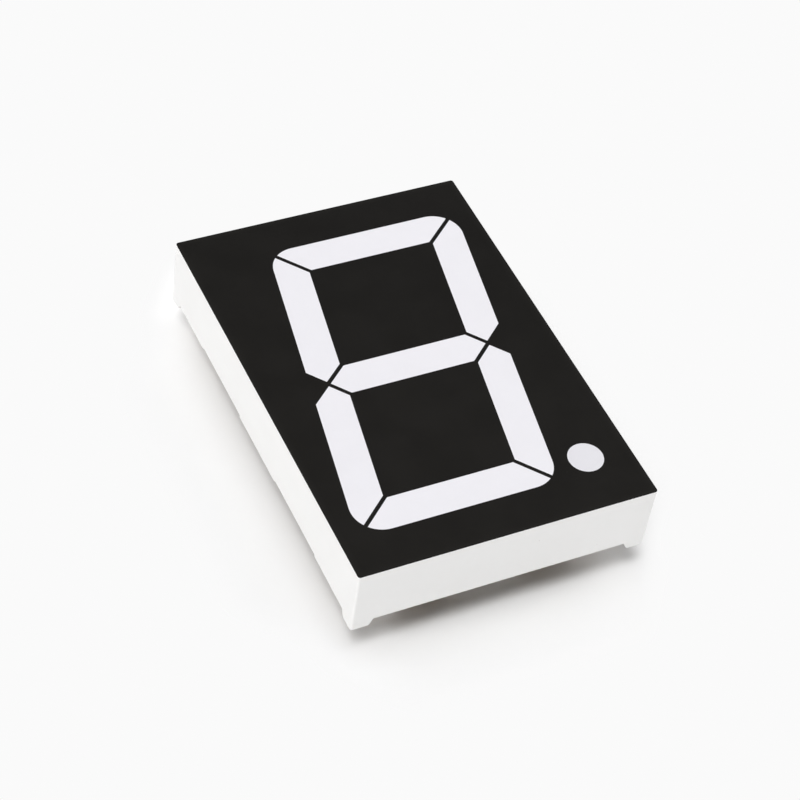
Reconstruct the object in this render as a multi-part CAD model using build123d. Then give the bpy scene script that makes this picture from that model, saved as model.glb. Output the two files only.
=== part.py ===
from build123d import *
from math import atan, atan2, cos, degrees, radians, tan
import os

# Single-digit LED display with seven slanted segments and a decimal point.
# Millimetres. The origin is in the plane of the pin tips, under the middle of the
# face. +X is to the right of the digit, +Y up the digit, +Z out of its face.

# Digit, measured on the face
digit_height = 56.8
digit_width = 32.32        # straight across, outer line to outer line
slant = 10.0               # lean to the right, degrees
stroke = 5.45
mitre_gap = 0.65
digit_corner_radius = 4.5
point_diameter = 5.5
point_gap = 2.45           # from the digit's outer line

# Housing, moulded in one piece
side_border = 7.84         # from the digit's outer line at mid height
end_border = 6.6           # above and below the digit
body_depth = 12.0          # from the face to the bottom of the feet
corner_radius = 0.4        # upright edges
wall = 1.5
foot_height = 1.3
foot_width = 2.9           # under the foot, along the short side
foot_length = 2.6          # under the foot, along the long side
foot_slope = 0.6           # how far a foot's inner faces spread towards the rim
foot_radius = 0.5          # lower inner edges of a foot
relief_depth = 0.4         # shallow notches in the rim of the long sides
corner_land = 13.2         # rim left whole from each corner to a notch
middle_land = 13.6         # rim left whole between two notches

# Reflector cavities and the hollows between them
face_coat = 0.1            # black layer on the face
cavity_land = 0.6          # straight stretch behind the face
cavity_inset = 1.1         # how far each side draws in from the face to the board
rib = 1.0                  # wall between a cavity and a hollow
face_skin = 2.0            # material left in front of a hollow
seat = 1.0                 # ledge that the board's edge bears on
narrowest_hollow = 2.0

# Circuit board
board_thickness = 1.6
board_recess = 0.8         # from the rim up to the board's back
board_clearance = 0.2
seal_width = 1.2           # bead of resin round the board's edge
seal_height = 0.6
seal_lip = 0.1

# Pins
pins_per_row = 5
pin_pitch = 2.54
row_border = 2.08          # from the digit's top or bottom line to a row
pin_diameter = 0.8
pin_reach = 5.0            # from the feet to the tips
root_diameter = 0.94       # swaged end that grips its hole in the board
flats_per_root = 12
root_proud = 0.5           # above the board
root_clearance = 0.6       # round a root, inside the housing
solder_spread = 0.55       # beyond the root
solder_height = 0.9
solder_lip = 0.06

# Light-emitting chips, their pads and wires
chips_per_segment = 4      # in series, along the segment
chips_in_point = 2         # side by side
point_chip_spacing = 1.4
chip_size = 0.35
chip_height = 0.25
copper_margin = 2.8        # from a mitre to the end of the copper
pad_width = 0.9
pad_thickness = 0.035
pad_gap = 0.3
pad_lead = 0.5             # copper before the first chip's middle
pad_tail = 0.3             # copper beyond the last bond
gap_place = 0.6            # from a chip's middle to the gap that its wire crosses
wire_span = 1.05
wire_thickness = 0.04
wire_rise = 0.3            # above the chip

# Overall sizes
body_width = digit_width + 2 * side_border
body_length = digit_height + 2 * end_border
row_spacing = digit_height + 2 * row_border

# Levels
foot_level = pin_reach
rim_level = foot_level + foot_height
board_back = rim_level + board_recess
board_top = board_back + board_thickness
face_level = foot_level + body_depth
coat_level = face_level - face_coat
throat_level = face_level - cavity_land
hollow_level = face_level - face_skin
pad_level = board_top + pad_thickness
chip_level = pad_level + chip_height
solder_level = board_back - solder_height

# Draft of the cavities and of the hollows beside them
draft = degrees(atan(cavity_inset / (throat_level - board_top)))

# Half sizes of the upright digit: outer line, inner line and middle of each stroke
side_stroke = stroke / cos(radians(slant))
outer_x = digit_width / 2
outer_y = digit_height / 2
inner_x = outer_x - side_stroke
inner_y = outer_y - stroke
middle_x = outer_x - side_stroke / 2
middle_y = outer_y - stroke / 2

# Each segment's middle line, from one mitre to the other
segment_runs = {
    "a": ((-middle_x, middle_y), (middle_x, middle_y)),
    "b": ((middle_x, 0), (middle_x, middle_y)),
    "c": ((middle_x, -middle_y), (middle_x, 0)),
    "d": ((-middle_x, -middle_y), (middle_x, -middle_y)),
    "e": ((-middle_x, -middle_y), (-middle_x, 0)),
    "f": ((-middle_x, 0), (-middle_x, middle_y)),
    "g": ((-middle_x, 0), (middle_x, 0)),
}


def lean(x, y):
    # A point of the upright digit, carried over to the slanted one
    return Vector(x + y * tan(radians(slant)), y)


def leaning_box(half_x, low_y, high_y):
    # Parallelogram with level ends and slanted sides
    corners = [(-half_x, low_y), (half_x, low_y), (half_x, high_y), (-half_x, high_y)]
    return Polygon(*[lean(x, y) for x, y in corners], align=None)


def digit_window(low_y, high_y):
    return leaning_box(inner_x, low_y, high_y)


def gap_strip(start, end):
    # A bar of the gap's width along the line between two points, running past both
    first = lean(*start)
    last = lean(*end)
    run = last - first
    middle = (first + last) / 2
    bar = Rectangle(run.length + 2 * mitre_gap, mitre_gap)
    return Pos(middle.X, middle.Y) * Rot(0, 0, degrees(atan2(run.Y, run.X))) * bar


def side_notch(side):
    # The black triangle between the two pointed ends at the middle of one side
    tip = lean(side * middle_x, 0)
    above = lean(side * (middle_x + side_stroke), stroke)
    below = lean(side * (middle_x + side_stroke), -stroke)
    return make_face(Polyline(tip, above, below, close=True))


def segment_outlines():
    # The rounded digit, less its windows, side notches and mitre gaps, by name
    digit = leaning_box(outer_x, -outer_y, outer_y)
    digit = fillet(digit.vertices(), digit_corner_radius)
    digit -= digit_window(stroke / 2, inner_y)
    digit -= digit_window(-inner_y, -stroke / 2)
    for side in (-1, 1):
        digit -= side_notch(side)
        for end in (-1, 1):
            digit -= gap_strip((side * inner_x, end * inner_y), (side * outer_x, end * outer_y))
            digit -= gap_strip((side * inner_x, end * stroke / 2), (side * outer_x, -end * stroke / 2))
    outlines = {}
    for name, (start, end) in segment_runs.items():
        centre = (lean(*start) + lean(*end)) / 2
        nearest = min(digit.faces(), key=lambda piece: (piece.center() - centre).length)
        outlines[name] = Sketch() + nearest
    return outlines


def point_centre():
    # Level with the foot of the digit, beside its slanted outer line
    radius = point_diameter / 2
    beside = lean(outer_x, radius - outer_y)
    return beside + Vector(point_gap + radius, 0)


def point_outline():
    centre = point_centre()
    return Pos(centre.X, centre.Y) * Circle(point_diameter / 2)


def tapered_down(outline, level, depth, angle):
    # A block hanging from the outline, its sides drawn in towards the bottom
    risen = extrude(outline, amount=depth, taper=angle)
    return Pos(0, 0, level) * mirror(risen, about=Plane.XY)


def cavity(outline):
    # Straight through the face, then drawn in all round towards the board
    land = extrude(Pos(0, 0, throat_level) * outline, amount=cavity_land)
    return land + tapered_down(outline, throat_level, throat_level - board_top, draft)


def board_room():
    # Outline of the recess in the back: inside the walls, less the corner posts
    room = Rectangle(body_width - 2 * wall, body_length - 2 * wall)
    post = Rectangle(2 * (foot_width + foot_slope), 2 * (foot_length + foot_slope))
    for x in (-body_width / 2, body_width / 2):
        for y in (-body_length / 2, body_length / 2):
            room -= Pos(x, y) * post
    return room


def between_feet(plane, width, foot, length):
    # What is cut away below the rim between two feet, right across the body
    low = width / 2 - foot
    high = low - foot_slope
    corners = [(-low, foot_level), (low, foot_level), (high, rim_level), (-high, rim_level)]
    return extrude(plane * Polygon(*corners, align=None), amount=length, both=True)


def is_inside(edge):
    # Whether an edge is clear of the outer walls
    middle = edge.center()
    between_sides = abs(middle.X) < body_width / 2 - corner_radius
    return between_sides and abs(middle.Y) < body_length / 2 - corner_radius


def blank_body():
    # The outer block, with rounded upright edges and four feet left below the rim
    height = coat_level - foot_level
    block = Pos(0, 0, foot_level) * extrude(Rectangle(body_width, body_length), amount=height)
    block = fillet(block.edges().filter_by(Axis.Z), corner_radius)
    block -= between_feet(Plane.XZ, body_width, foot_width, body_length)
    block -= between_feet(Plane.YZ, body_length, foot_length, body_width)
    soles = block.edges().group_by(Axis.Z)[0]
    return fillet(soles.filter_by(is_inside), foot_radius)


def rim_reliefs():
    length = (body_length - middle_land) / 2 - corner_land
    centre = (middle_land + length) / 2
    reliefs = Part()
    for x in (-body_width / 2, body_width / 2):
        for y in (-centre, centre):
            reliefs += Pos(x, y, rim_level) * Box(2 * wall, length, 2 * relief_depth)
    return reliefs


def root_slots():
    # Room above the board for the roots of each row of pins
    around = root_diameter + 2 * root_clearance
    width = (pins_per_row - 1) * pin_pitch + around
    depth = root_proud + root_clearance
    slots = Part()
    for y in (-row_spacing / 2, row_spacing / 2):
        slots += Pos(0, y, board_top + depth / 2) * Box(width, around, depth)
    return slots


def cored(outline):
    # A hollow from the board up to the face's skin, with the cavities' own draft
    return extrude(Pos(0, 0, board_top) * outline, amount=hollow_level - board_top, taper=draft)


def window_hollow(low_y, high_y):
    # Behind the black field inside one half of the digit
    between = digit_window(low_y, high_y)
    return cored(offset(between, amount=cavity_inset - rib, kind=Kind.INTERSECTION))


def side_hollow(side, low_y, high_y):
    # Between the digit's slanted outer line and one long wall
    wall_x = side * (body_width / 2 - wall - seat)
    line_x = side * (outer_x - cavity_inset + rib)
    corners = [lean(line_x, low_y), lean(line_x, high_y), Vector(wall_x, high_y), Vector(wall_x, low_y)]
    return cored(Sketch() + make_face(Polyline(*corners, close=True)))


def hollows():
    # The moulding is cored out from the back wherever it would be thick
    widest = body_width / 2 - wall - seat - outer_x + cavity_inset - rib
    narrow_y = (widest - narrowest_hollow) / tan(radians(slant))
    above_point = point_centre().Y + point_diameter / 2 - cavity_inset + rib
    cores = window_hollow(stroke / 2, inner_y) + window_hollow(-inner_y, -stroke / 2)
    cores += side_hollow(-1, -narrow_y, outer_y)
    cores += side_hollow(1, above_point, narrow_y)
    return cores


def make_housing(cavities):
    housing = blank_body()
    housing -= Pos(0, 0, rim_level) * extrude(board_room(), amount=board_top - rim_level)
    housing -= rim_reliefs()
    housing -= root_slots()
    housing -= hollows()
    for shape in cavities.values():
        housing -= shape
    return housing


def make_face_coat(cavities):
    sheet = Pos(0, 0, coat_level) * extrude(Rectangle(body_width, body_length), amount=face_coat)
    sheet = fillet(sheet.edges().filter_by(Axis.Z), corner_radius)
    for shape in cavities.values():
        sheet -= shape
    return sheet


def pin_places():
    # Pin 1 is at the lower left, and the count runs right, then back along the top
    half = (pins_per_row - 1) * pin_pitch / 2
    lower = [(-half + i * pin_pitch, -row_spacing / 2) for i in range(pins_per_row)]
    upper = [(half - i * pin_pitch, row_spacing / 2) for i in range(pins_per_row)]
    return lower + upper


def root_outline():
    return RegularPolygon(root_diameter / 2, flats_per_root)


def make_board():
    outline = offset(board_room(), amount=-board_clearance, kind=Kind.INTERSECTION)
    for x, y in pin_places():
        outline -= Pos(x, y) * root_outline()
    return Pos(0, 0, board_back) * extrude(outline, amount=board_thickness)


def make_edge_seal():
    # Resin in the gap round the board, with a sloping bead on the board's back
    room = board_room()
    board = offset(room, amount=-board_clearance, kind=Kind.INTERSECTION)
    inner = offset(room, amount=-seal_width, kind=Kind.INTERSECTION)
    outer = offset(room, amount=-seal_lip, kind=Kind.INTERSECTION)
    seal_level = board_back - seal_height
    seal = Pos(0, 0, seal_level) * extrude(room, amount=board_top - seal_level)
    seal -= Pos(0, 0, board_back) * extrude(board, amount=board_thickness)
    mouth = (Pos(0, 0, seal_level) * outer).face()
    seal -= loft([mouth, (Pos(0, 0, board_back) * inner).face()], ruled=True)
    return seal


def pin_shape():
    # Round below the solder, many-sided where it is swaged into the board
    shank = extrude(Circle(pin_diameter / 2), amount=solder_level)
    root_height = board_top + root_proud - solder_level
    return shank + Pos(0, 0, solder_level) * extrude(root_outline(), amount=root_height)


def solder_shape():
    # A tapering collar round the root, under the board
    collar = RegularPolygon(root_diameter / 2 + solder_spread, flats_per_root)
    angle = degrees(atan((solder_spread - solder_lip) / solder_height))
    cone = tapered_down(collar, board_back, solder_height, angle)
    return cone - Pos(0, 0, solder_level) * extrude(root_outline(), amount=solder_height)


def copper_layout(length, count):
    # Along a strip of copper: the chips' places, and each pad's two ends
    free = length - pad_lead - wire_span - pad_tail
    step = free / max(count - 1, 1)
    places = [pad_lead + i * step for i in range(count)]
    gaps = [place + gap_place for place in places]
    starts = [0] + [gap + pad_gap / 2 for gap in gaps]
    ends = [gap - pad_gap / 2 for gap in gaps] + [length]
    return places, list(zip(starts, ends))


def pad_shape(start, end, width):
    pad = Pos((start + end) / 2, 0, board_top) * Rectangle(end - start, width)
    return extrude(pad, amount=pad_thickness)


def chip_shape():
    return Pos(0, 0, pad_level) * extrude(Rectangle(chip_size, chip_size), amount=chip_height)


def wire_shape():
    # Straight up from the chip, then down in one slope to the next pad
    half = wire_thickness / 2
    top = chip_level + wire_rise
    corners = [
        (-half, chip_level), (half, chip_level), (half, top - half), (wire_span - half, pad_level),
        (wire_span + half, pad_level), (half, top + half), (-half, top + half),
    ]
    section = make_face(Polyline(*[(x, 0, z) for x, z in corners], close=True))
    return extrude(section, amount=half, dir=(0, 1, 0), both=True)


def segment_circuit(start, end):
    # Where the chips of one segment stand, and its row of pads
    first = lean(*start)
    run = lean(*end) - first
    turn = Rot(0, 0, degrees(atan2(run.Y, run.X)))
    origin = Pos(first + run.normalized() * copper_margin) * turn
    places, pads = copper_layout(run.length - 2 * copper_margin, chips_per_segment)
    sites = [origin * Pos(place) for place in places]
    return sites, [origin * pad_shape(low, high, pad_width) for low, high in pads]


def point_circuit():
    # The point's chips share a pad on each side of their wires
    length = pad_lead + wire_span + pad_tail
    origin = Pos(point_centre() - Vector(length / 2, 0))
    places, pads = copper_layout(length, 1)
    width = (chips_in_point - 1) * point_chip_spacing + pad_width
    rows = [i * point_chip_spacing + (pad_width - width) / 2 for i in range(chips_in_point)]
    sites = [origin * Pos(places[0], row) for row in rows]
    return sites, [origin * pad_shape(low, high, width) for low, high in pads]


def group(shapes):
    return Compound(children=shapes)


def make_all():
    outlines = segment_outlines()
    circuits = {name: segment_circuit(*ends) for name, ends in segment_runs.items()}
    outlines["point"] = point_outline()
    circuits["point"] = point_circuit()
    cavities = {name: cavity(outline) for name, outline in outlines.items()}
    chip = chip_shape()
    wire = wire_shape()

    nodes = {"housing": make_housing(cavities), "face_coat": make_face_coat(cavities)}
    copper = []
    for name, fill in cavities.items():
        sites, pads = circuits[name]
        chips = [site * chip for site in sites]
        wires = [site * wire for site in sites]
        for inner in pads + chips + wires:
            fill -= inner
        nodes["decimal_point" if name == "point" else "segment_" + name] = fill
        nodes["chips_" + name] = group(chips)
        nodes["bond_wires_" + name] = group(wires)
        copper += pads
    nodes["copper_pads"] = group(copper)
    nodes["circuit_board"] = make_board()
    nodes["edge_seal"] = make_edge_seal()
    pin = pin_shape()
    solder = solder_shape()
    for number, (x, y) in enumerate(pin_places(), start=1):
        nodes["pin_%d" % number] = Pos(x, y) * pin
        nodes["solder_joint_%d" % number] = Pos(x, y) * solder
    return nodes


os.makedirs("parts", exist_ok=True)
for node, shape in make_all().items():
    export_step(shape, "parts/%s.step" % node)
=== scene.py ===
import math
import bmesh
import bpy
import numpy as np
from mathutils import Matrix, Vector


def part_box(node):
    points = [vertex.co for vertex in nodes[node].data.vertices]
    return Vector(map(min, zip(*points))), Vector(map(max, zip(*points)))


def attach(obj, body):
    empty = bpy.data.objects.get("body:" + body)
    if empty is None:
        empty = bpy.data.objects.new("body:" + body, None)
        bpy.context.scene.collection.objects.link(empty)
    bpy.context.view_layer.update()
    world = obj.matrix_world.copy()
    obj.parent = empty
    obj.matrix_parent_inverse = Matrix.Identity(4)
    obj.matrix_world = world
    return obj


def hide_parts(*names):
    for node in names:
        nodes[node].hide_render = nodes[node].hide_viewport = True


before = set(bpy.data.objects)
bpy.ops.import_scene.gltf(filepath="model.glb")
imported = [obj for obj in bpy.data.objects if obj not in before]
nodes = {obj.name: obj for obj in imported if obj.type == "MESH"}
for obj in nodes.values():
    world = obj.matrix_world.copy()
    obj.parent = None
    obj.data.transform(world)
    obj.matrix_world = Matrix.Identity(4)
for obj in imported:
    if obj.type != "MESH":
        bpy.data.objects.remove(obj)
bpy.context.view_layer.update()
mm = 0.001
print("frame loaded:", len(nodes), "nodes")


# a node's socket, wrapped so that shader maths is written as plain sums
class Flow:
    def __init__(self, sheet, socket):
        self.sheet = sheet
        self.socket = socket

    def math(self, operation, *terms):
        return self.sheet.add("ShaderNodeMath", {"operation": operation}, dict(enumerate(terms)))

    def __add__(self, other):
        return self.math("ADD", self, other)

    def __radd__(self, other):
        return self.math("ADD", other, self)

    def __sub__(self, other):
        return self.math("SUBTRACT", self, other)

    def __rsub__(self, other):
        return self.math("SUBTRACT", other, self)

    def __mul__(self, other):
        return self.math("MULTIPLY", self, other)

    def __rmul__(self, other):
        return self.math("MULTIPLY", other, self)

    def __abs__(self):
        return self.math("ABSOLUTE", self)

    def least(self, other):
        return self.math("MINIMUM", self, other)

    def most(self, other):
        return self.math("MAXIMUM", self, other)

    def sine(self):
        return self.math("SINE", self)

    def far(self, other):
        # length of the pair (self, other)
        return self.math("SQRT", self * self + other * other)

    def folded(self, half):
        # repeats with the period 2 half, from -half to half
        return self.math("WRAP", self, half, -half)

    def rise(self, low, high):
        # 0 up to low, 1 from high, a smooth step between
        settings = {"interpolation_type": "SMOOTHSTEP", "clamp": True}
        sockets = {0: self, 1: low, 2: high, 3: 0.0, 4: 1.0}
        return self.sheet.add("ShaderNodeMapRange", settings, sockets)

    def sister(self, name):
        # another output of the same node
        return Flow(self.sheet, self.socket.node.outputs[name])


# the nodes of one material or world
class Sheet:
    def __init__(self, name, kind="materials"):
        self.owner = getattr(bpy.data, kind).new(name)
        self.owner.use_nodes = True
        self.tree = self.owner.node_tree
        self.tree.nodes.clear()

    def add(self, kind, settings=None, sockets=None, out=0):
        node = self.tree.nodes.new(kind)
        for key, value in (settings or {}).items():
            setattr(node, key, value)
        for key, value in (sockets or {}).items():
            if isinstance(value, Flow):
                self.tree.links.new(value.socket, node.inputs[key])
            else:
                node.inputs[key].default_value = value
        return Flow(self, node.outputs[out]) if node.outputs else node

    def place(self):
        # object coordinates, in millimetres
        here = self.add("ShaderNodeTexCoord", out="Object")
        return self.add("ShaderNodeVectorMath", {"operation": "SCALE"}, {0: here, "Scale": 1 / mm})

    def axes(self, at):
        x = self.add("ShaderNodeSeparateXYZ", None, {0: at}, "X")
        return x, x.sister("Y"), x.sister("Z")

    def drawn(self, at, angles, stretch):
        # the place turned by degrees and stretched, for streaks
        sockets = {"Vector": at, "Rotation": [math.radians(a) for a in angles], "Scale": stretch}
        return self.add("ShaderNodeMapping", {"vector_type": "POINT"}, sockets)

    def noise(self, at, perMm, detail=2.0, roughness=0.5):
        sockets = {"Vector": at, "Scale": perMm, "Detail": detail, "Roughness": roughness}
        return self.add("ShaderNodeTexNoise", None, sockets, "Fac")

    def patches(self, at, perMm, detail, low, high, roughness=0.5):
        # soft patches: a noise brought to 0 up to low and to 1 from high
        return self.noise(at, perMm, detail, roughness).rise(low, high)

    def specks(self, at, perMm, radius, share):
        # round dots of a radius in mm, in a share of the cells
        cell = self.add("ShaderNodeTexVoronoi", None, {"Vector": at, "Scale": perMm}, "Distance")
        lot = self.add("ShaderNodeSeparateColor", None, {0: cell.sister("Color")}, "Red")
        size = radius * perMm
        return (1 - cell.rise(0.5 * size, size)) * (1 - lot.rise(share, share + 0.01))

    def blend(self, share, first, second):
        return self.add("ShaderNodeMix", {"data_type": "RGBA"}, {0: share, 6: first, 7: second}, 2)

    def relief(self, height, depth, under=None):
        # a bump, depth in mm for a height of 1, on top of another
        sockets = {"Height": height, "Distance": depth * mm, "Strength": 1.0}
        if under:
            sockets["Normal"] = under
        return self.add("ShaderNodeBump", None, sockets)

    def backgroundRays(self):
        # 1 for the rays that show the background: camera, glossy and transmission
        camera = self.add("ShaderNodeLightPath", out="Is Camera Ray")
        glossy, through = camera.sister("Is Glossy Ray"), camera.sister("Is Transmission Ray")
        return (camera + glossy + through).least(1.0)

    def finish(self, sockets):
        surface = self.add("ShaderNodeBsdfPrincipled", None, sockets)
        self.add("ShaderNodeOutputMaterial", None, {"Surface": surface})
        return self.owner


def rgb(red, green, blue):
    return (red, green, blue, 1.0)


# sizes that the materials and the new pieces share, in mm, from the CAD nodes
def boxMm(name):
    low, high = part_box(name)
    return np.array(low) / mm, np.array(high) / mm


def nodeTop(name):
    return boxMm(name)[1][2]


def nodeFoot(name):
    return boxMm(name)[0][2]


def cornersMm(name):
    mesh = nodes[name].data
    flat = np.empty(3 * len(mesh.vertices))
    mesh.vertices.foreach_get("co", flat)
    return flat.reshape(-1, 3) / mm


halfX, halfY = boxMm("housing")[1][:2]
sealHigh = boxMm("edge_seal")[1]
pinCount = 10
pinNames = ["pin_%d" % (number + 1) for number in range(pinCount)]
jointNames = ["solder_joint_%d" % (number + 1) for number in range(pinCount)]
pinPlaces = np.array([(boxMm(name)[0] + boxMm(name)[1])[:2] / 2 for name in pinNames])
pinPitch = pinPlaces[1, 0] - pinPlaces[0, 0]
rowY = pinPlaces[-1, 1]
rowHalf = pinPlaces[:, 0].max()
backLevel = nodeFoot("circuit_board")
footLevel = nodeFoot("housing")

# the rim is the housing's lowest level midway between its feet, and footIn is the inner end
# of their soles
flush = 0.001               # mm within which a point is on the sole
bodyCorners = abs(cornersMm("housing"))
rimLevel = bodyCorners[bodyCorners[:, 1] < halfY / 2, 2].min()
onSole = bodyCorners[:, 2] < footLevel + flush
footIn = bodyCorners[onSole, :2].min(0)

# the board steps back at each corner, and its recess does the same a gap further out
near = 0.1                  # mm within which a point is on the board's outermost edge
boardCorners = abs(cornersMm("circuit_board"))
boardHigh = boxMm("circuit_board")[1]
boardGap = sealHigh[0] - boardHigh[0]
stepX = boardCorners[boardCorners[:, 1] > boardHigh[1] - near, 0].max() + boardGap
stepY = boardCorners[boardCorners[:, 0] > boardHigh[0] - near, 1].max() + boardGap


# Finishes. In their dictionaries lengths are in mm, and
#   a noise is (cells per mm, detail, and roughness where it isn't a half)
#   patches are (cells per mm, detail, noise where they start, noise where they are full, and
#   roughness where it isn't a half)
#   dots are (cells per mm, radius, share of the cells that have one)
#   a drawn place is (degrees turned, stretch)
mouldingLook = {
    "colour": rgb(0.932, 0.927, 0.919),
    "shade": rgb(0.916, 0.910, 0.900),          # in the darker clouds
    "rubbed": rgb(0.90, 0.895, 0.885),          # corners and rim, from handling
    "dustColour": rgb(0.42, 0.40, 0.37),        # dust caught in the surface
    "cloud": (0.085, 3.0, 0.30, 0.70),
    "grain": (6.5, 2.0),
    "fineGrain": (19.5, 1.0),
    "flow": ((0, 0, 8), (0.9, 0.08, 0.9)),      # the way the plastic ran along the mould
    "flowLines": (1.0, 2.0, 0.35, 0.75),
    "scuffed": ((12, 20, 35), (0.14, 5.0, 5.0)),
    "scuffs": (1.0, 1.0, 0.69, 0.73),
    "wear": (1.6, 3.0, 0.35, 0.65),
    "dust": (0.40, 0.075, 0.22),
    "sink": (0.10, 1.0),
    "cornerWidth": 0.7,                         # how far from a corner or the rim it is rubbed
    "rimWidth": 0.6,
    "rimOver": 0.1,
    "sinkDepth": 0.10,
    "grainDepth": 0.0035,
    "dustDepth": 0.01,
    "specular": 0.35,
    "ior": 1.5,
    "roughness": 0.46,
}


def mouldedPlastic(look):
    s = Sheet("moulded_white")
    at = s.place()
    x, y, z = s.axes(at)
    cloud = s.patches(at, *look["cloud"])
    grain = s.noise(at, *look["grain"])
    fine = s.noise(at, *look["fineGrain"])
    flowLines = s.patches(s.drawn(at, *look["flow"]), *look["flowLines"])
    scuffs = s.patches(s.drawn(at, *look["scuffed"]), *look["scuffs"])
    dust = s.specks(at, *look["dust"])
    sink = s.noise(at, *look["sink"])
    width = look["cornerWidth"]
    corner = abs(x).rise(halfX - width, halfX) * abs(y).rise(halfY - width, halfY)
    rim = 1 - z.rise(rimLevel - look["rimOver"], rimLevel + look["rimWidth"])
    rubbed = corner.most(rim) * s.patches(at, *look["wear"])
    colour = s.blend(0.7 * cloud + 0.3 * flowLines, look["colour"], look["shade"])
    colour = s.blend(0.55 * rubbed, colour, look["rubbed"])
    colour = s.blend(0.8 * dust, colour, look["dustColour"])
    roughness = look["roughness"] + 0.08 * (grain - 0.5) + 0.05 * cloud
    roughness = roughness + 0.10 * scuffs - 0.06 * rubbed
    bump = s.relief(sink, look["sinkDepth"])
    bump = s.relief(grain + 0.35 * fine - 0.5 * scuffs, look["grainDepth"], bump)
    bump = s.relief(dust, look["dustDepth"], bump)
    return s.finish({
        "Base Color": colour, "Roughness": roughness, "Normal": bump,
        "Specular IOR Level": look["specular"], "IOR": look["ior"],
    })


inkLook = {
    "colour": rgb(0.0048, 0.0043, 0.0037),
    "greyedAndSheen": rgb(0.0114, 0.0106, 0.0096),      # where the film is thinner, and the painted sheen towards the front left
    "dustColour": rgb(0.10, 0.10, 0.10),
    "cloud": (0.12, 3.0, 0.30, 0.70),
    "peel": (1.9, 2.0),                         # the dried film's orange peel
    "dust": (0.55, 0.045, 0.10),
    "threadsPerMm": 7.0,                        # of the printing screen
    "edgeWidth": 1.2,                           # where the film thins towards the face's edges
    "paintedSheenSlant": 0.5,                         # painted sheen: the black is greyed towards
    "paintedSheenHalf": 40.0,                         # the front left, a highlight painted into the colour
    "cloudShare": 0.35,
    "edgeShare": 0.40,
    "paintedSheenShare": 0.55,
    "peelDepth": 0.006,
    "threadDepth": 0.0006,
    "specular": 0.035,                          # matt ink
    "ior": 1.5,
    "roughness": 0.50,
}


def screenInk(look):
    s = Sheet("black_screen_ink")
    at = s.place()
    x, y, z = s.axes(at)
    cloud = s.patches(at, *look["cloud"])
    peel = s.noise(at, *look["peel"])
    turn = 2 * math.pi * look["threadsPerMm"]
    threads = (x * turn).sine() * (y * turn).sine()
    dust = s.specks(at, *look["dust"])
    width = look["edgeWidth"]
    edge = abs(x).rise(halfX - width, halfX).most(abs(y).rise(halfY - width, halfY))
    # painted sheen: the colour greys towards the face's front left, standing in for a highlight
    paintedSheen = (y + look["paintedSheenSlant"] * x).rise(-look["paintedSheenHalf"], look["paintedSheenHalf"])
    # the film's thinner clouds and edges, plus the painted sheen
    thin = look["cloudShare"] * cloud + look["edgeShare"] * edge
    thin = thin + look["paintedSheenShare"] * (1 - paintedSheen)
    colour = s.blend(thin, look["colour"], look["greyedAndSheen"])
    colour = s.blend(0.6 * dust, colour, look["dustColour"])
    roughness = look["roughness"] + 0.10 * (peel - 0.5) + 0.05 * cloud + 0.10 * dust
    bump = s.relief(peel, look["peelDepth"])
    bump = s.relief(threads + dust, look["threadDepth"], bump)
    return s.finish({
        "Base Color": colour, "Roughness": roughness, "Normal": bump,
        "Specular IOR Level": look["specular"], "IOR": look["ior"],
    })


resinLook = {
    "segments": rgb(0.826, 0.815, 0.854),
    "point": rgb(0.750, 0.742, 0.780),
    "clouded": 0.975,                           # share of the colour left in the denser clouds
    "cloud": (0.22, 3.0, 0.32, 0.72, 0.6),
    "beads": (5.5, 1.0),                        # diffuser grains
    "ripple": (0.35, 1.0),
    "pits": (0.50, 0.06, 0.12),
    "rippleDepth": 0.03,
    "beadDepth": 0.0012,
    "pitDepth": 0.012,
    "specular": 0.15,
    "ior": 1.54,
    "roughness": 0.40,
}


def milkyResin(name, colour, look):
    s = Sheet(name)
    at = s.place()
    denser = rgb(*[part * look["clouded"] for part in colour[:3]])
    cloud = s.patches(at, *look["cloud"])
    beads = s.noise(at, *look["beads"])
    ripple = s.noise(at, *look["ripple"])
    pits = s.specks(at, *look["pits"])
    colour = s.blend(0.6 * cloud + 0.4 * beads, colour, denser)
    roughness = look["roughness"] + 0.10 * (beads - 0.5) + 0.06 * cloud
    bump = s.relief(ripple, look["rippleDepth"])
    bump = s.relief(beads, look["beadDepth"], bump)
    bump = s.relief(1 - pits, look["pitDepth"], bump)
    return s.finish({
        "Base Color": colour, "Roughness": roughness, "Normal": bump,
        "Specular IOR Level": look["specular"], "IOR": look["ior"],
    })


laminateLook = {
    "colour": rgb(0.165, 0.109, 0.066),
    "pale": rgb(0.245, 0.172, 0.112),
    "flux": rgb(0.155, 0.097, 0.043),
    "scorched": rgb(0.080, 0.049, 0.028),       # round the soldered holes
    "dustColour": rgb(0.62, 0.60, 0.55),
    "cloud": (0.15, 3.0),
    "cloudEnds": (0.3, 0.7),
    "blot": (0.9, 2.0),
    "laid": ((0, 0, 3), (0.35, 6.0, 1.0)),      # the way the fibres lie
    "fibres": (1.0, 2.0, 0.55, 0.75),
    "dust": (0.6, 0.06, 0.15),
    "clothPitch": 0.42,                         # glass cloth that shows through
    "fluxEnds": (1.38, 2.3),                    # how far from a pin the flux spread
    "fluxWander": 1.3,
    "scorchEnds": (1.1, 1.7),
    "scorchWander": 0.3,
    "clothDepth": 0.0015,
    "fluxDepth": 0.03,
    "specular": 0.5,
    "ior": 1.55,
    "roughness": 0.38,
}


def pinDistance(s, at):
    # how far the nearest pin's middle is, from the pitch of the two rows
    x, y, z = s.axes(at)
    across = x.folded(pinPitch / 2)
    beyond = (abs(x) - (rowHalf + pinPitch / 2)).most(0.0)
    along = abs(y) - abs(rowY)
    return (abs(across) + beyond).far(along)


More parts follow.
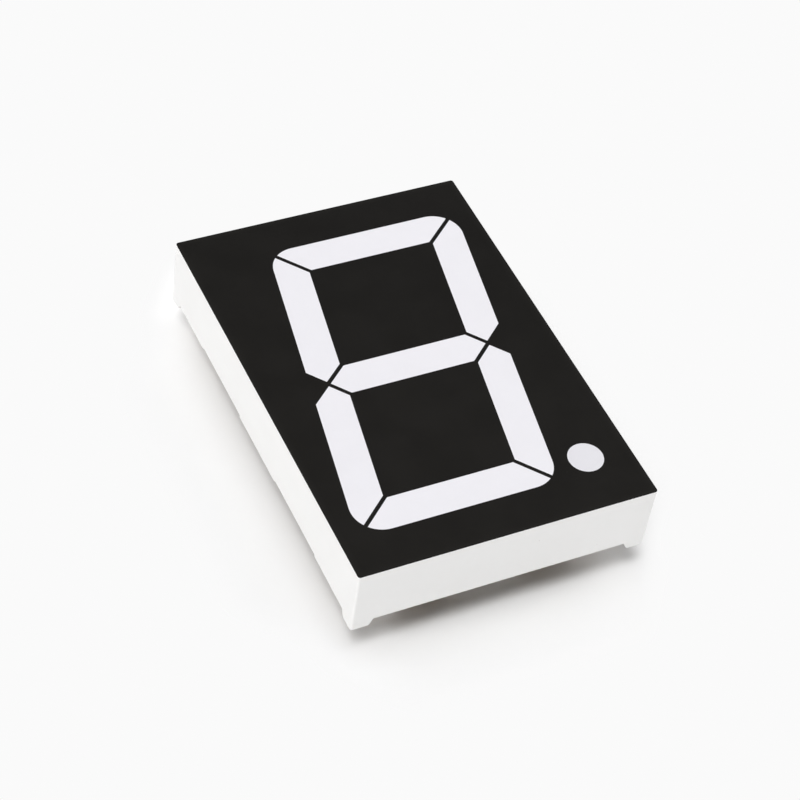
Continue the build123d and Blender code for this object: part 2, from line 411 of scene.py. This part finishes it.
def bareLaminate(look):
    s = Sheet("tan_laminate")
    at = s.place()
    x, y, z = s.axes(at)
    reach = pinDistance(s, at)
    turn = 2 * math.pi / look["clothPitch"]
    cloth = (x * turn).sine() * (y * turn).sine()
    cloud = s.noise(at, *look["cloud"])
    blot = s.noise(at, *look["blot"])
    fibres = s.patches(s.drawn(at, *look["laid"]), *look["fibres"])
    flux = 1 - (reach + look["fluxWander"] * (blot - 0.5)).rise(*look["fluxEnds"])
    scorch = 1 - (reach + look["scorchWander"] * blot).rise(*look["scorchEnds"])
    dust = s.specks(at, *look["dust"])
    paler = 0.55 * cloud.rise(*look["cloudEnds"]) + 0.12 * (cloth + 1)
    colour = s.blend(paler, look["colour"], look["pale"])
    colour = s.blend(0.25 * fibres, colour, look["pale"])
    colour = s.blend(0.50 * flux, colour, look["flux"])
    colour = s.blend(0.35 * scorch, colour, look["scorched"])
    colour = s.blend(0.4 * dust, colour, look["dustColour"])
    roughness = look["roughness"] + 0.12 * (cloud - 0.5) - 0.18 * flux
    roughness = roughness + 0.2 * dust + 0.05 * fibres
    bump = s.relief(cloth, look["clothDepth"])
    bump = s.relief(flux * blot, look["fluxDepth"], bump)
    return s.finish({
        "Base Color": colour, "Roughness": roughness, "Normal": bump,
        "Specular IOR Level": look["specular"], "IOR": look["ior"],
    })


tinLook = {
    "bright": rgb(0.83, 0.82, 0.79),
    "dull": rgb(0.55, 0.54, 0.52),
    "wireDrawn": ((0, 0, 0), (14.0, 14.0, 0.5)),
    "drawLines": (1.0, 2.0),
    "blooms": (1.4, 3.0, 0.45, 0.75, 0.6),
    "nicks": (1.6, 0.06, 0.12),
    "lineDepth": 0.003,
    "nickDepth": 0.01,
    "roughness": 0.27,
}


def tinnedWire(look):
    s = Sheet("tinned_wire")
    at = s.place()
    drawLines = s.noise(s.drawn(at, *look["wireDrawn"]), *look["drawLines"])
    blooms = s.patches(at, *look["blooms"])
    nicks = s.specks(at, *look["nicks"])
    colour = s.blend(0.6 * blooms + 0.3 * drawLines, look["bright"], look["dull"])
    roughness = look["roughness"] + 0.16 * blooms + 0.12 * (drawLines - 0.5)
    bump = s.relief(drawLines, look["lineDepth"])
    bump = s.relief(1 - nicks, look["nickDepth"], bump)
    return s.finish({
        "Base Color": colour, "Metallic": 1.0, "Roughness": roughness, "Normal": bump,
    })


solderLook = {
    "bright": rgb(0.80, 0.79, 0.76),
    "frosted": rgb(0.60, 0.59, 0.57),
    "flux": rgb(0.42, 0.30, 0.12),
    "frost": (7.0, 3.0, 0.6),
    "patch": (1.1, 2.0, 0.42, 0.66),
    "stain": (2.2, 2.0, 0.45, 0.65),
    "stainEnds": (0.75, 1.05),                  # how far from a pin the flux stains it
    "frostDepth": 0.012,
    "roughness": 0.20,
}


def solderMetal(name, look):
    s = Sheet(name)
    at = s.place()
    reach = pinDistance(s, at)
    frost = s.noise(at, *look["frost"])
    patch = s.patches(at, *look["patch"])
    stain = reach.rise(*look["stainEnds"]) * s.patches(at, *look["stain"])
    colour = s.blend(0.7 * patch * frost, look["bright"], look["frosted"])
    colour = s.blend(0.5 * stain, colour, look["flux"])
    roughness = look["roughness"] + 0.22 * patch + 0.10 * frost
    bump = s.relief(frost * patch, look["frostDepth"])
    return s.finish({
        "Base Color": colour, "Metallic": 1.0 - 0.6 * stain,
        "Roughness": roughness, "Normal": bump,
    })


sealLook = {
    "thin": rgb(0.34, 0.22, 0.10),              # the board shows through the feather edge
    "thick": rgb(0.66, 0.60, 0.46),
    "cloudy": rgb(0.55, 0.49, 0.33),
    "bubble": rgb(0.85, 0.84, 0.80),
    "cloud": (0.5, 2.0),
    "cloudEnds": (0.4, 0.7),
    "bubbles": (0.9, 0.13, 0.18),
    "fullDepth": 0.1,                           # above the bead's lowest level
    "cloudDepth": 0.05,
    "bubbleDepth": 0.03,
    "thinAlpha": 0.72,
    "alphaGain": 0.26,                          # more of it where the bead is thick
    "ior": 1.53,
    "roughness": 0.12,
}


def clearResin(look):
    s = Sheet("clear_resin")
    at = s.place()
    x, y, z = s.axes(at)
    depth = 1 - z.rise(nodeFoot("edge_seal") + look["fullDepth"], backLevel)
    cloud = s.noise(at, *look["cloud"])
    bubbles = s.specks(at, *look["bubbles"])
    colour = s.blend(depth, look["thin"], look["thick"])
    colour = s.blend(0.25 * cloud.rise(*look["cloudEnds"]), colour, look["cloudy"])
    colour = s.blend(0.3 * bubbles, colour, look["bubble"])
    roughness = look["roughness"] + 0.10 * cloud
    bump = s.relief(cloud, look["cloudDepth"])
    bump = s.relief(bubbles, look["bubbleDepth"], bump)
    return s.finish({
        "Base Color": colour, "Roughness": roughness, "Normal": bump,
        "Alpha": look["thinAlpha"] + look["alphaGain"] * depth, "IOR": look["ior"],
    })


goldLook = {
    "leaf": rgb(0.86, 0.62, 0.27),
    "dark": rgb(0.62, 0.40, 0.14),
    "brushed": ((0, 0, 45), (9.0, 0.6, 9.0)),       # the tracks, cleaned along one direction
    "wireDrawn": ((0, 0, 45), (20.0, 20.0, 2.0)),   # the bond wires
    "streaks": (1.0, 2.0),
    "tarnish": (1.3, 3.0, 0.45, 0.75),
    "streakDepth": 0.002,
    "roughness": 0.24,
}


def goldMetal(name, look, way):
    s = Sheet(name)
    at = s.place()
    streaks = s.noise(s.drawn(at, *look[way]), *look["streaks"])
    tarnish = s.patches(at, *look["tarnish"])
    colour = s.blend(0.7 * tarnish + 0.2 * streaks, look["leaf"], look["dark"])
    roughness = look["roughness"] + 0.20 * tarnish + 0.08 * streaks
    bump = s.relief(streaks, look["streakDepth"])
    return s.finish({
        "Base Color": colour, "Metallic": 1.0, "Roughness": roughness, "Normal": bump,
    })


chipLook = {
    "crystal": rgb(0.06, 0.09, 0.13),
    "contact": rgb(0.78, 0.60, 0.30),
    "contactEnds": (-0.012, -0.004),            # from the chip's top, where its contact begins
    "fog": (9.0, 2.0),
    "fogEnds": (0.4, 0.6),
    "layerTurn": 160.0,                         # radians per mm of the grown layers
    "layerDepth": 0.002,
    "ior": 1.76,
    "roughness": 0.16,
}


def chipCrystal(look):
    s = Sheet("chip_crystal")
    at = s.place()
    x, y, z = s.axes(at)
    topFace = z.rise(*[nodeTop("chips_a") + level for level in look["contactEnds"]])
    layers = (z * look["layerTurn"]).sine()
    fog = s.noise(at, *look["fog"])
    metal = 0.5 * topFace * fog.rise(*look["fogEnds"])
    colour = s.blend(metal, look["crystal"], look["contact"])
    roughness = look["roughness"] + 0.15 * fog + 0.05 * layers
    bump = s.relief(layers + fog, look["layerDepth"])
    return s.finish({
        "Base Color": colour, "Roughness": roughness, "Normal": bump, "IOR": look["ior"],
    })


segmentNames = ["segment_" + letter for letter in "abcdefg"]
groupNames = list("abcdefg") + ["point"]
white = mouldedPlastic(mouldingLook)
resin = milkyResin("milky_resin", resinLook["segments"], resinLook)
tin = tinnedWire(tinLook)
solder = solderMetal("solder", solderLook)
sealResin = clearResin(sealLook)
giltCopper = goldMetal("gilt_copper", goldLook, "brushed")
finishes = {
    "housing": white,
    "face_coat": screenInk(inkLook),
    "decimal_point": milkyResin("milky_resin_point", resinLook["point"], resinLook),
    "circuit_board": bareLaminate(laminateLook),
    "edge_seal": sealResin,
    "copper_pads": giltCopper,
}
chipFinish = chipCrystal(chipLook)
wireFinish = goldMetal("gold_wire", goldLook, "wireDrawn")
finishes.update({name: resin for name in segmentNames})
finishes.update({"chips_" + name: chipFinish for name in groupNames})
finishes.update({"bond_wires_" + name: wireFinish for name in groupNames})
finishes.update({name: tin for name in pinNames})
finishes.update({name: solder for name in jointNames})
for name, finish in finishes.items():
    for holder in nodes[name].material_slots:
        holder.material = finish
print("finishes on", len(finishes), "of", len(nodes), "nodes")


# meshes worked out as whole arrays, in mm
def gridFaces(rows, columns, closedRows):
    # quads of a grid of points whose columns run right round
    index = np.arange(rows * columns).reshape(rows, columns)
    upper = np.roll(index, -1, 0) if closedRows else index[1:]
    lower = index if closedRows else index[:-1]
    quads = np.stack([lower, np.roll(lower, -1, 1), np.roll(upper, -1, 1), upper], -1)
    return quads.reshape(-1, 4)


def turnedRows(profile, sides, sway, phase):
    # point(u, v) = (r(u) cos v, r(u) sin v, z(u)), where r swells and shrinks twice a turn by
    # the share sway: r (1 + sway sin(2 v + phase))
    turn = np.linspace(0, 2 * np.pi, sides, endpoint=False)
    radius, level = profile.T
    swell = radius[:, None] * (1 + sway * np.sin(2 * turn + phase))
    return np.stack([swell * np.cos(turn), swell * np.sin(turn), level[:, None] + 0 * turn], -1)


def turnedSolid(profile, sides, sway=0.0, twist=5.0):
    # turned rows whose first and last points are on the axis and close the ends; the swelling
    # turns with the height by twist radians per mm
    inner = profile[1:-1]
    rings = turnedRows(inner, sides, sway, twist * inner[:, 1:])
    ends = np.array([[0, 0, profile[0, 1]], [0, 0, profile[-1, 1]]])
    points = np.concatenate([rings.reshape(-1, 3), ends])
    rows = len(inner)
    ring = np.arange(sides)
    after = np.roll(ring, -1)
    last = (rows - 1) * sides
    firstFan = np.stack([ring, after, np.full(sides, rows * sides)], -1)
    lastFan = np.stack([last + after, last + ring, np.full(sides, rows * sides + 1)], -1)
    return points, [gridFaces(rows, sides, False), firstFan, lastFan]


def turnedRing(profile, sides, sway=0.0, phase=0.0):
    # turned rows of a profile that is closed on itself
    rings = turnedRows(profile, sides, sway, phase)
    return rings.reshape(-1, 3), [gridFaces(len(profile), sides, True)]


def atLevel(flat, level):
    # points(u, v) of the plane, each with its height
    return np.concatenate([flat, np.broadcast_to(level[..., None], flat.shape[:-1] + (1,))], -1)


def carried(section, path):
    # point(u, v) = path(u) + across(v) * mitre(u), at level(v); flat ends close it
    step = np.diff(path, axis=0)
    step /= np.linalg.norm(step, axis=1)[:, None]
    side = np.stack([-step[:, 1], step[:, 0]], -1)
    before = np.concatenate([side[:1], side])
    after = np.concatenate([side, side[-1:]])
    mitre = (before + after) / (1 + (before * after).sum(1))[:, None]
    across, level = section.T
    points = atLevel(path[:, None] + mitre[:, None] * across[:, None], level)
    count = len(section)
    caps = [np.arange(count)[None], (len(path) - 1) * count + np.arange(count)[None]]
    return points.reshape(-1, 3), [gridFaces(len(path), count, False)] + caps


def copies(shape, places):
    # the same points at each place, and the faces counted on
    points, blocks = shape
    moved = points[None] + atLevel(places, np.zeros(len(places)))[:, None]
    starts = len(points) * np.arange(len(places))[:, None, None]
    faces = [(block[None] + starts).reshape(-1, block.shape[1]) for block in blocks]
    return moved.reshape(-1, 3), faces


def together(shapes):
    # several shapes as one list of points and faces
    starts = np.cumsum([0] + [len(points) for points, blocks in shapes])
    faces = [block + start for (_, blocks), start in zip(shapes, starts) for block in blocks]
    return np.concatenate([points for points, blocks in shapes]), faces


def addPiece(name, shape, finish, sharpAngle):
    # edges that turn by more than sharpAngle degrees stay sharp, the others are smooth
    points, blocks = shape
    faces = [face for block in blocks for face in block.tolist()]
    mesh = bpy.data.meshes.new(name)
    mesh.from_pydata((points * mm).tolist(), [], faces)
    work = bmesh.new()
    work.from_mesh(mesh)
    bmesh.ops.recalc_face_normals(work, faces=work.faces[:])
    work.to_mesh(mesh)
    work.free()
    mesh.shade_smooth()
    mesh.set_sharp_from_angle(angle=math.radians(sharpAngle))
    mesh.materials.append(finish)
    piece = bpy.data.objects.new(name, mesh)
    bpy.context.scene.collection.objects.link(piece)
    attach(piece, "root")
    return piece


# pins: drawn tinned wire, cut and tumbled, with a swaged root through the board
pinForm = {
    "radius": 0.40,
    "tipRound": 0.20,        # height and depth of the rounding at the cut end
    "shankStart": 0.6,
    "rootRadius": 0.465,
    "rootStart": 6.45,       # inside the solder
    "rootSwell": 0.25,
    "rootClear": 0.4,        # between the shank's last ring and the root
    "headBevel": 0.08,
    "tipRings": 8,
    "shankRings": 6,
    "swellRings": 7,
    "sides": 40,
}


def pinProfile(form, top):
    # r(z): an elliptic quarter at the tip, straight, then a smooth step to the root
    radius, root, bevel = form["radius"], form["rootRadius"], form["headBevel"]
    t = np.linspace(0, 1, form["tipRings"])
    tip = np.stack([radius - form["tipRound"] * (1 - np.sin(t * np.pi / 2)),
                    form["tipRound"] * (1 - np.cos(t * np.pi / 2))], -1)
    straight = np.linspace(form["shankStart"], form["rootStart"] - form["rootClear"],
                           form["shankRings"])
    shank = np.stack([np.full(len(straight), radius), straight], -1)
    t = np.linspace(0, 1, form["swellRings"])
    swell = np.stack([radius + (root - radius) * t * t * (3 - 2 * t),
                      form["rootStart"] + form["rootSwell"] * t], -1)
    head = np.array([[root, top - bevel], [root - bevel, top], [0, top]])
    return np.concatenate([[[0, 0]], tip, shank, swell, head])


pinShape = turnedSolid(pinProfile(pinForm, nodeTop("pin_1")), pinForm["sides"])
for name, centre in zip(pinNames, pinPlaces):
    piece = addPiece(name + "_wire", copies(pinShape, centre[None]), tin,
                     sharpAngle=40)
    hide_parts(name)
print("pins:", len(pinNames))


# solder: a hollow fillet that climbs each pin
filletForm = {
    "spread": 0.53,          # from the pin's side out over the pad
    "skin": 0.05,            # left on the pin at the top of the fillet
    "skinEnd": 0.35,         # share of it left at the very end
    "hollow": 2.3,           # how hollow the slope is
    "lip": 0.04,
    "crown": 0.03,           # height of the end over the fillet's climb
    "overlap": 0.03,         # of the inner wall and the pin's root
    "undercut": 0.02,        # of the foot, behind the lip
    "headroom": 0.04,        # kept free at the end of the CAD joint
    "varies": 0.12,          # how much less than the most a fillet may climb
    "sway": 0.022,
    "rings": 16,
    "sides": 48,
    "seed": 11,
}


def filletProfile(form, radius, climb):
    # r(t) = pin + skin + (spread - skin) (1 - t)^hollow at the height t up the pin, with an
    # inner wall
    skin, spread, overlap = form["skin"], form["spread"], form["overlap"]
    t = np.linspace(0, 1, form["rings"])
    outer = radius + skin + (spread - skin) * (1 - t) ** form["hollow"]
    level = backLevel - form["lip"] - (climb - form["lip"]) * t
    slope = np.stack([outer, level], -1)
    return np.concatenate([slope, [
        [radius + form["skinEnd"] * skin, backLevel - climb - form["crown"]],
        [radius - overlap, backLevel - climb],
        [radius - overlap, backLevel],
        [radius + spread - form["undercut"], backLevel],
    ]])


draws = np.random.default_rng(filletForm["seed"])
climbMost = backLevel - nodeFoot("solder_joint_1") - filletForm["headroom"]
for name, centre in zip(jointNames, pinPlaces):
    climb = climbMost - draws.uniform(0.0, filletForm["varies"])
    profile = filletProfile(filletForm, pinForm["rootRadius"] - filletForm["overlap"], climb)
    phase = draws.uniform(0, 2 * np.pi)
    shape = turnedRing(profile, filletForm["sides"], filletForm["sway"], phase)
    piece = addPiece(name + "_fillet", copies(shape, centre[None]), solder,
                     sharpAngle=60)
    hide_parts(name)
print("solder fillets:", len(jointNames))


# pads under the fillets, tinned
padForm = {"inner": 0.50, "outer": 1.22, "thickness": 0.045, "bevel": 0.02, "sides": 48}


def padRings(form):
    # a washer whose lower edges are bevelled, round each pin
    inner, outer, bevel = form["inner"], form["outer"], form["bevel"]
    low = backLevel - form["thickness"]
    washer = np.array([
        [inner, backLevel], [inner, low + bevel], [inner + bevel, low],
        [outer - bevel, low], [outer, low + bevel], [outer, backLevel],
    ])
    return copies(turnedRing(washer, form["sides"]), pinPlaces)


addPiece("pad_rings", padRings(padForm), solder, sharpAngle=30)


# tracks on the board's back: each pin to its segment, and one common run
trackForm = {
    "signalWidth": 0.55,
    "commonWidth": 1.10,
    "height": 0.050,
    "slope": 0.02,           # spread of the etched sides
    "lift": 0.0025,          # each track is a little higher than the last, where they cross
    "viaRadius": 0.46,
    "viaRise": 1.5,          # height of a plated hole's ring, in heights of a track
    "viaDimple": 0.12,       # share of its radius, and of its height, that is a dimple
    "viaRound": 0.7,         # under 1 makes the ring blunter
    "viaSeat": 0.02,
    "viaRings": 14,
    "sides": 28,
}
signalTracks = [
    [(-5.08, -30.48), (-7.2, -28.36), (-16.4, -28.36), (-18.6, -26.16), (-18.6, -23.9),
     (-17.4, -22.7)],
    [(-2.54, -30.48), (-2.54, -28.0), (-4.89, -25.65), (-14.6, -25.65)],
    [(2.54, -30.48), (2.54, -28.2), (3.44, -27.3), (7.34, -27.3), (9.34, -25.3), (9.34, -22.9)],
    [(5.08, -30.48), (6.7, -28.86), (12.7, -28.86), (15.9, -25.66)],
    [(5.08, 30.48), (7.2, 28.36), (11.94, 28.36), (17.4, 22.9)],
    [(2.54, 30.48), (2.54, 28.0), (4.89, 25.65), (12.4, 25.65)],
    [(-2.54, 30.48), (-2.54, 28.25), (-3.44, 27.35), (-7.5, 27.35), (-9.34, 25.51),
     (-9.34, 22.9)],
    [(-5.08, 30.48), (-6.7, 28.86), (-12.4, 28.86), (-15.6, 25.66), (-15.6, 2.0), (-13.6, 0.0),
     (-9.8, 0.0)],
]
commonTracks = [
    [(0.0, -30.48), (0.0, 30.48)],
    [(0.0, -25.65), (5.3, -25.65)],
    [(-13.86, -2.8), (12.88, -2.8)],
    [(-12.88, 2.8), (13.86, 2.8)],
    [(9.8, 0.0), (9.8, -2.8)],
    [(-5.3, 25.65), (0.0, 25.65)],
    [(12.88, -2.8), (19.5, -9.42), (19.5, -23.9), (17.75, -25.65)],
]
viaPlaces = np.array([track[-1] for track in signalTracks] + [
    (5.3, -25.65), (-13.86, -2.8), (12.88, -2.8), (-12.88, 2.8), (13.86, 2.8),
    (9.8, 0.0), (-5.3, 25.65), (17.75, -25.65),
])


def trackSection(width, height, slope):
    # a low bank: flat on top, its sides spreading to the board
    half = width / 2
    return np.array([[-half - slope, backLevel], [-half, backLevel - height],
                     [half, backLevel - height], [half + slope, backLevel]])


def viaProfile(form):
    # r and z of a plated hole: a low ring, sin(pi t)^round, with a dimple in the middle
    dimple, radius, seat = form["viaDimple"], form["viaRadius"], backLevel + form["viaSeat"]
    t = np.linspace(0, 1, form["viaRings"])
    ring = np.sin(np.clip((t - dimple) / (1 - dimple), 0, 1) * np.pi) ** form["viaRound"]
    level = backLevel - form["viaRise"] * form["height"] * (dimple * (1 - t) + ring)
    return np.concatenate([np.stack([t * radius, level], -1), [[radius, seat], [0, seat]]])


banks = []
for kind, tracks in (("signalWidth", signalTracks), ("commonWidth", commonTracks)):
    for track in tracks:
        height = trackForm["height"] + len(banks) * trackForm["lift"]
        section = trackSection(trackForm[kind], height, trackForm["slope"])
        banks.append(carried(section, np.array(track)))
viaShape = turnedSolid(viaProfile(trackForm), trackForm["sides"])
addPiece("back_tracks", together(banks), giltCopper, sharpAngle=25)
addPiece("back_vias", copies(viaShape, viaPlaces), giltCopper, sharpAngle=50)
print("tracks:", len(banks), "vias:", len(viaPlaces))


# bead of resin round the board: a hollow meniscus from the wall to the board
sealForm = {
    "width": 1.12,
    "waver": 0.11,           # how far its inner edge wanders
    "waves": [5, 9, 14, 23, 37, 61],    # turns of the wander round the board
    "height": 0.56,
    "feather": 0.015,        # height of its thin edge
    "hollow": 2.1,
    "wallRound": 0.10,
    "edgeRound": 0.9,
    "boardClear": 0.01,      # left between the resin and the board's side
    "steps": 900,
    "cornerSteps": 9,
    "rows": 12,
    "seed": 5,
}


def roundedOutline(corners, reach, steps):
    # each corner is a parabola that starts and ends the distance reach away along its sides
    t = np.linspace(0, 1, steps)[None, :, None]
    back = np.roll(corners, 1, 0) - corners
    on = np.roll(corners, -1, 0) - corners
    back *= (reach / np.linalg.norm(back, axis=1))[:, None]
    on *= (reach / np.linalg.norm(on, axis=1))[:, None]
    return (corners[:, None] + back[:, None] * (1 - t) ** 2 + on[:, None] * t ** 2).reshape(-1, 2)


def drawnIn(corners, amount):
    # the outline moved inwards by its mitres; the corners run anticlockwise
    step = np.roll(corners, -1, 0) - corners
    step /= np.linalg.norm(step, axis=1)[:, None]
    side = np.stack([-step[:, 1], step[:, 0]], -1)
    before = np.roll(side, 1, 0)
    return corners + amount * (before + side) / (1 + (before * side).sum(1))[:, None]


def runAlong(outline):
    # how far each point is along the closed outline, which ends where it starts
    ring = np.concatenate([outline, outline[:1]])
    return np.concatenate([[0], np.cumsum(np.linalg.norm(np.diff(ring, axis=0), axis=1))])


def evenly(outline, index):
    # the closed outline at fractional point numbers
    ring = np.concatenate([outline, outline[:1]])
    count = np.arange(len(ring))
    return np.stack([np.interp(index, count, ring[:, axis]) for axis in (0, 1)], -1)


def recessCorners():
    # the board's recess, a rectangle that steps in at its corners, anticlockwise
    quarter = [(sealHigh[0], stepY), (stepX, stepY), (stepX, sealHigh[1])]
    turned = [[(x, y) for x, y in quarter], [(-x, y) for x, y in quarter[::-1]],
              [(-x, -y) for x, y in quarter], [(x, -y) for x, y in quarter[::-1]]]
    return np.array(sum(turned, []))


def meniscus(form):
    # point(s, t) = outer(s) (1 - t) + inner(s) t, at the height h (1 - t)^hollow off the board
    corners, steps, cornerSteps = recessCorners(), form["steps"], form["cornerSteps"]
    outer = roundedOutline(corners, form["wallRound"], cornerSteps)
    inner = roundedOutline(drawnIn(corners, form["width"]), form["edgeRound"], cornerSteps)
    under = drawnIn(corners, boardGap - form["boardClear"])
    under = roundedOutline(under, form["wallRound"], cornerSteps)
    run = runAlong(inner)
    even = np.linspace(0, run[-1], steps, endpoint=False)
    index = np.interp(even, run, np.arange(len(run)))
    outer, inner, under = evenly(outer, index), evenly(inner, index), evenly(under, index)

    # the inner edge wanders by a sum of sines, the faster ones smaller
    turn = np.linspace(0, 2 * np.pi, steps, endpoint=False)
    waves = np.array(form["waves"])
    phases = np.random.default_rng(form["seed"]).uniform(0, 2 * np.pi, len(waves))
    waver = (np.sin(turn[:, None] * waves + phases) / np.sqrt(waves)).sum(1)
    inward = inner - outer
    inward /= np.linalg.norm(inward, axis=1)[:, None]
    inner = inner + inward * (form["waver"] * waver / abs(waver).max())[:, None]

    t = np.linspace(0, 1, form["rows"])[:, None]
    level = backLevel - form["feather"] - form["height"] * (1 - t) ** form["hollow"]
    slope = outer * (1 - t[..., None]) + inner * t[..., None]
    rows = [atLevel(slope, level)]
    for ring, height in ((inner, backLevel), (under, backLevel),
                         (under, sealHigh[2]), (outer, sealHigh[2])):
        rows.append(atLevel(ring, np.full(steps, height))[None])
    points = np.concatenate(rows)
    return points.reshape(-1, 3), [gridFaces(len(points), steps, True)]


bead = addPiece("edge_seal_bead", meniscus(sealForm), sealResin, sharpAngle=50)
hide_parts("edge_seal")
print("bead of resin round the board")


# marks of the mould: ejector rings on the feet, and the scar where the plastic came in
mouldForm = {
    "ringInner": 0.72,
    "ringOuter": 0.86,
    "ringHeight": 0.035,
    "ringBevel": 0.03,
    "ringSeat": 0.01,
    "scarRadius": 0.48,
    "scarHeight": 0.10,
    "scarMiddle": 0.35,      # its height in the middle, as a share
    "scarHollow": 3,
    "scarEdge": 0.98,        # share of its radius where it falls to the wall
    "scarSway": 0.03,
    "scarSeat": 0.02,
    "scarInset": 0.75,       # of its middle, from the wall's outer face
    "scarRings": 10,
    "sides": 40,
}


def ejectorRings(form):
    # a low flattened ridge round each foot's ejector pin
    inner, outer, bevel = form["ringInner"], form["ringOuter"], form["ringBevel"]
    low, seated = footLevel - form["ringHeight"], footLevel + form["ringSeat"]
    ridge = np.array([[inner, seated], [inner + bevel, low], [outer - bevel, low],
                      [outer, seated]])
    middle = (footIn + (halfX, halfY)) / 2
    places = middle * np.array([(x, y) for x in (-1, 1) for y in (-1, 1)])
    return copies(turnedRing(ridge, form["sides"]), places)


def gateScar(form):
    # a broken-off stub, its height growing from the middle with t^hollow to a raised lip
    radius, middle, seated = form["scarRadius"], form["scarMiddle"], rimLevel + form["scarSeat"]
    t = np.linspace(0, 1, form["scarRings"])
    growth = middle + (1 - middle) * t ** form["scarHollow"]
    level = rimLevel - form["scarHeight"] * growth * (t < form["scarEdge"])
    face = np.stack([t * radius, level], -1)
    profile = np.concatenate([face, [[radius, seated], [0, seated]]])
    shape = turnedSolid(profile, form["sides"], form["scarSway"])
    return copies(shape, np.array([(0.0, halfY - form["scarInset"])]))


addPiece("ejector_rings", ejectorRings(mouldForm), white, sharpAngle=40)
addPiece("gate_scar", gateScar(mouldForm), white, sharpAngle=40)
print("mould marks")


# floor, light and camera
studio = {
    "pale": 0.957,           # of the floor and the backdrop
    "floorHalf": 3.0,        # m
    "fade": (4.0, 14.0),     # mm from the display over which the floor fades into the backdrop
    "cornerFade": 9.0,       # mm sooner at the corners, where the display shades little of it
    "cornerX": (-6.0, 4.0),  # mm from the sides over which the corners' share grows
    "cornerY": (-14.0, 0.0),
    "suns": [                # name, azimuth, elevation, spread, strength
        ("key", -70, 60, 12, 0.297),
        ("keyHigh", -70, 70, 12, 0.385),
        ("frontKey", -45, 62, 12, 0.083),
        ("frontKeyHigh", -45, 68, 14, 0.454),
        ("top", -60, 82, 14, 0.221),
        ("left", -90, 30, 18, 1.020),
        ("right", 90, 30, 18, 0.686),
        ("rightHigh", 90, 45, 40, 0.324),
        ("lowFront", 0, 2.5, 5, 0.760),
        ("lowBack", 180, 20, 40, 0.498),
        ("lowBackRight", 135, 20, 40, 0.565),
        ("backHigh", 180, 50, 18, 0.188),
        ("backLeft", -135, 45, 40, 0.471),
    ],
}


def makeFloor(settings):
    # a card under the display that keeps its shadow and fades into the even backdrop round it;
    # clear from below, so that the back of the display can be seen
    half = settings["floorHalf"]
    mesh = bpy.data.meshes.new("floor")
    corners = [(-half, -half, 0), (half, -half, 0), (half, half, 0), (-half, half, 0)]
    mesh.from_pydata(corners, [], [(0, 1, 2, 3)])
    s = Sheet("floor_card")
    x, y, z = s.axes(s.place())
    beyondX, beyondY = abs(x) - halfX, abs(y) - halfY
    corner = beyondX.rise(*settings["cornerX"]) * beyondY.rise(*settings["cornerY"])
    away = beyondX.most(0.0).far(beyondY.most(0.0)) + settings["cornerFade"] * corner
    share = s.backgroundRays() * away.rise(*settings["fade"])
    pale = rgb(*[settings["pale"]] * 3)
    card = s.add("ShaderNodeBsdfDiffuse", None, {"Color": pale})
    even = s.add("ShaderNodeEmission", None, {"Color": pale})
    clear = s.add("ShaderNodeBsdfTransparent")
    below = s.add("ShaderNodeNewGeometry", out="Backfacing")
    surface = s.add("ShaderNodeMixShader", None, {0: share, 1: card, 2: even})
    surface = s.add("ShaderNodeMixShader", None, {0: below, 1: surface, 2: clear})
    s.add("ShaderNodeOutputMaterial", None, {"Surface": surface})
    mesh.materials.append(s.owner)
    floor = bpy.data.objects.new("floor", mesh)
    bpy.context.scene.collection.objects.link(floor)


def makeBackdrop(settings):
    # seen and mirrored, but it lights nothing
    s = Sheet("backdrop", "worlds")
    strength = s.backgroundRays() * settings["pale"]
    sockets = {"Color": rgb(1, 1, 1), "Strength": strength}
    backdrop = s.add("ShaderNodeBackground", None, sockets)
    s.add("ShaderNodeOutputWorld", None, {"Surface": backdrop})
    bpy.context.scene.world = s.owner


def makeSuns(settings):
    # azimuth is where the light comes from, 0 from the front and 90 from the right
    for name, azimuth, elevation, spread, strength in settings["suns"]:
        lamp = bpy.data.lights.new(name, "SUN")
        lamp.energy = strength
        lamp.angle = math.radians(spread)
        holder = bpy.data.objects.new(name, lamp)
        a, e = math.radians(azimuth), math.radians(elevation)
        source = Vector((math.sin(a) * math.cos(e), -math.cos(a) * math.cos(e), math.sin(e)))
        holder.rotation_euler = source.to_track_quat("Z", "Y").to_euler()
        bpy.context.scene.collection.objects.link(holder)


cameraForm = {
    "place": (-0.13275, -0.21310, 0.27717),     # m
    "right": (0.9022, -0.4160, 0.1143),
    "forward": (0.3601, 0.5803, -0.7304),
    "lens": 108.16,
    "sensor": 36,
    "nearest": 0.01,                            # m
}


def makeCamera(form):
    data = bpy.data.cameras.new("camera")
    data.lens = form["lens"]
    data.sensor_width = form["sensor"]
    data.clip_start = form["nearest"]
    forward = Vector(form["forward"]).normalized()
    right = Vector(form["right"])
    right = (right - right.dot(forward) * forward).normalized()
    turn = Matrix((right, right.cross(forward), -forward)).transposed()
    camera = bpy.data.objects.new("camera", data)
    camera.matrix_world = Matrix.LocRotScale(Vector(form["place"]), turn, None)
    bpy.context.scene.collection.objects.link(camera)
    bpy.context.scene.camera = camera


makeFloor(studio)
makeBackdrop(studio)
makeSuns(studio)
makeCamera(cameraForm)
bpy.context.scene.view_settings.view_transform = "Standard"
print("floor, light and camera")
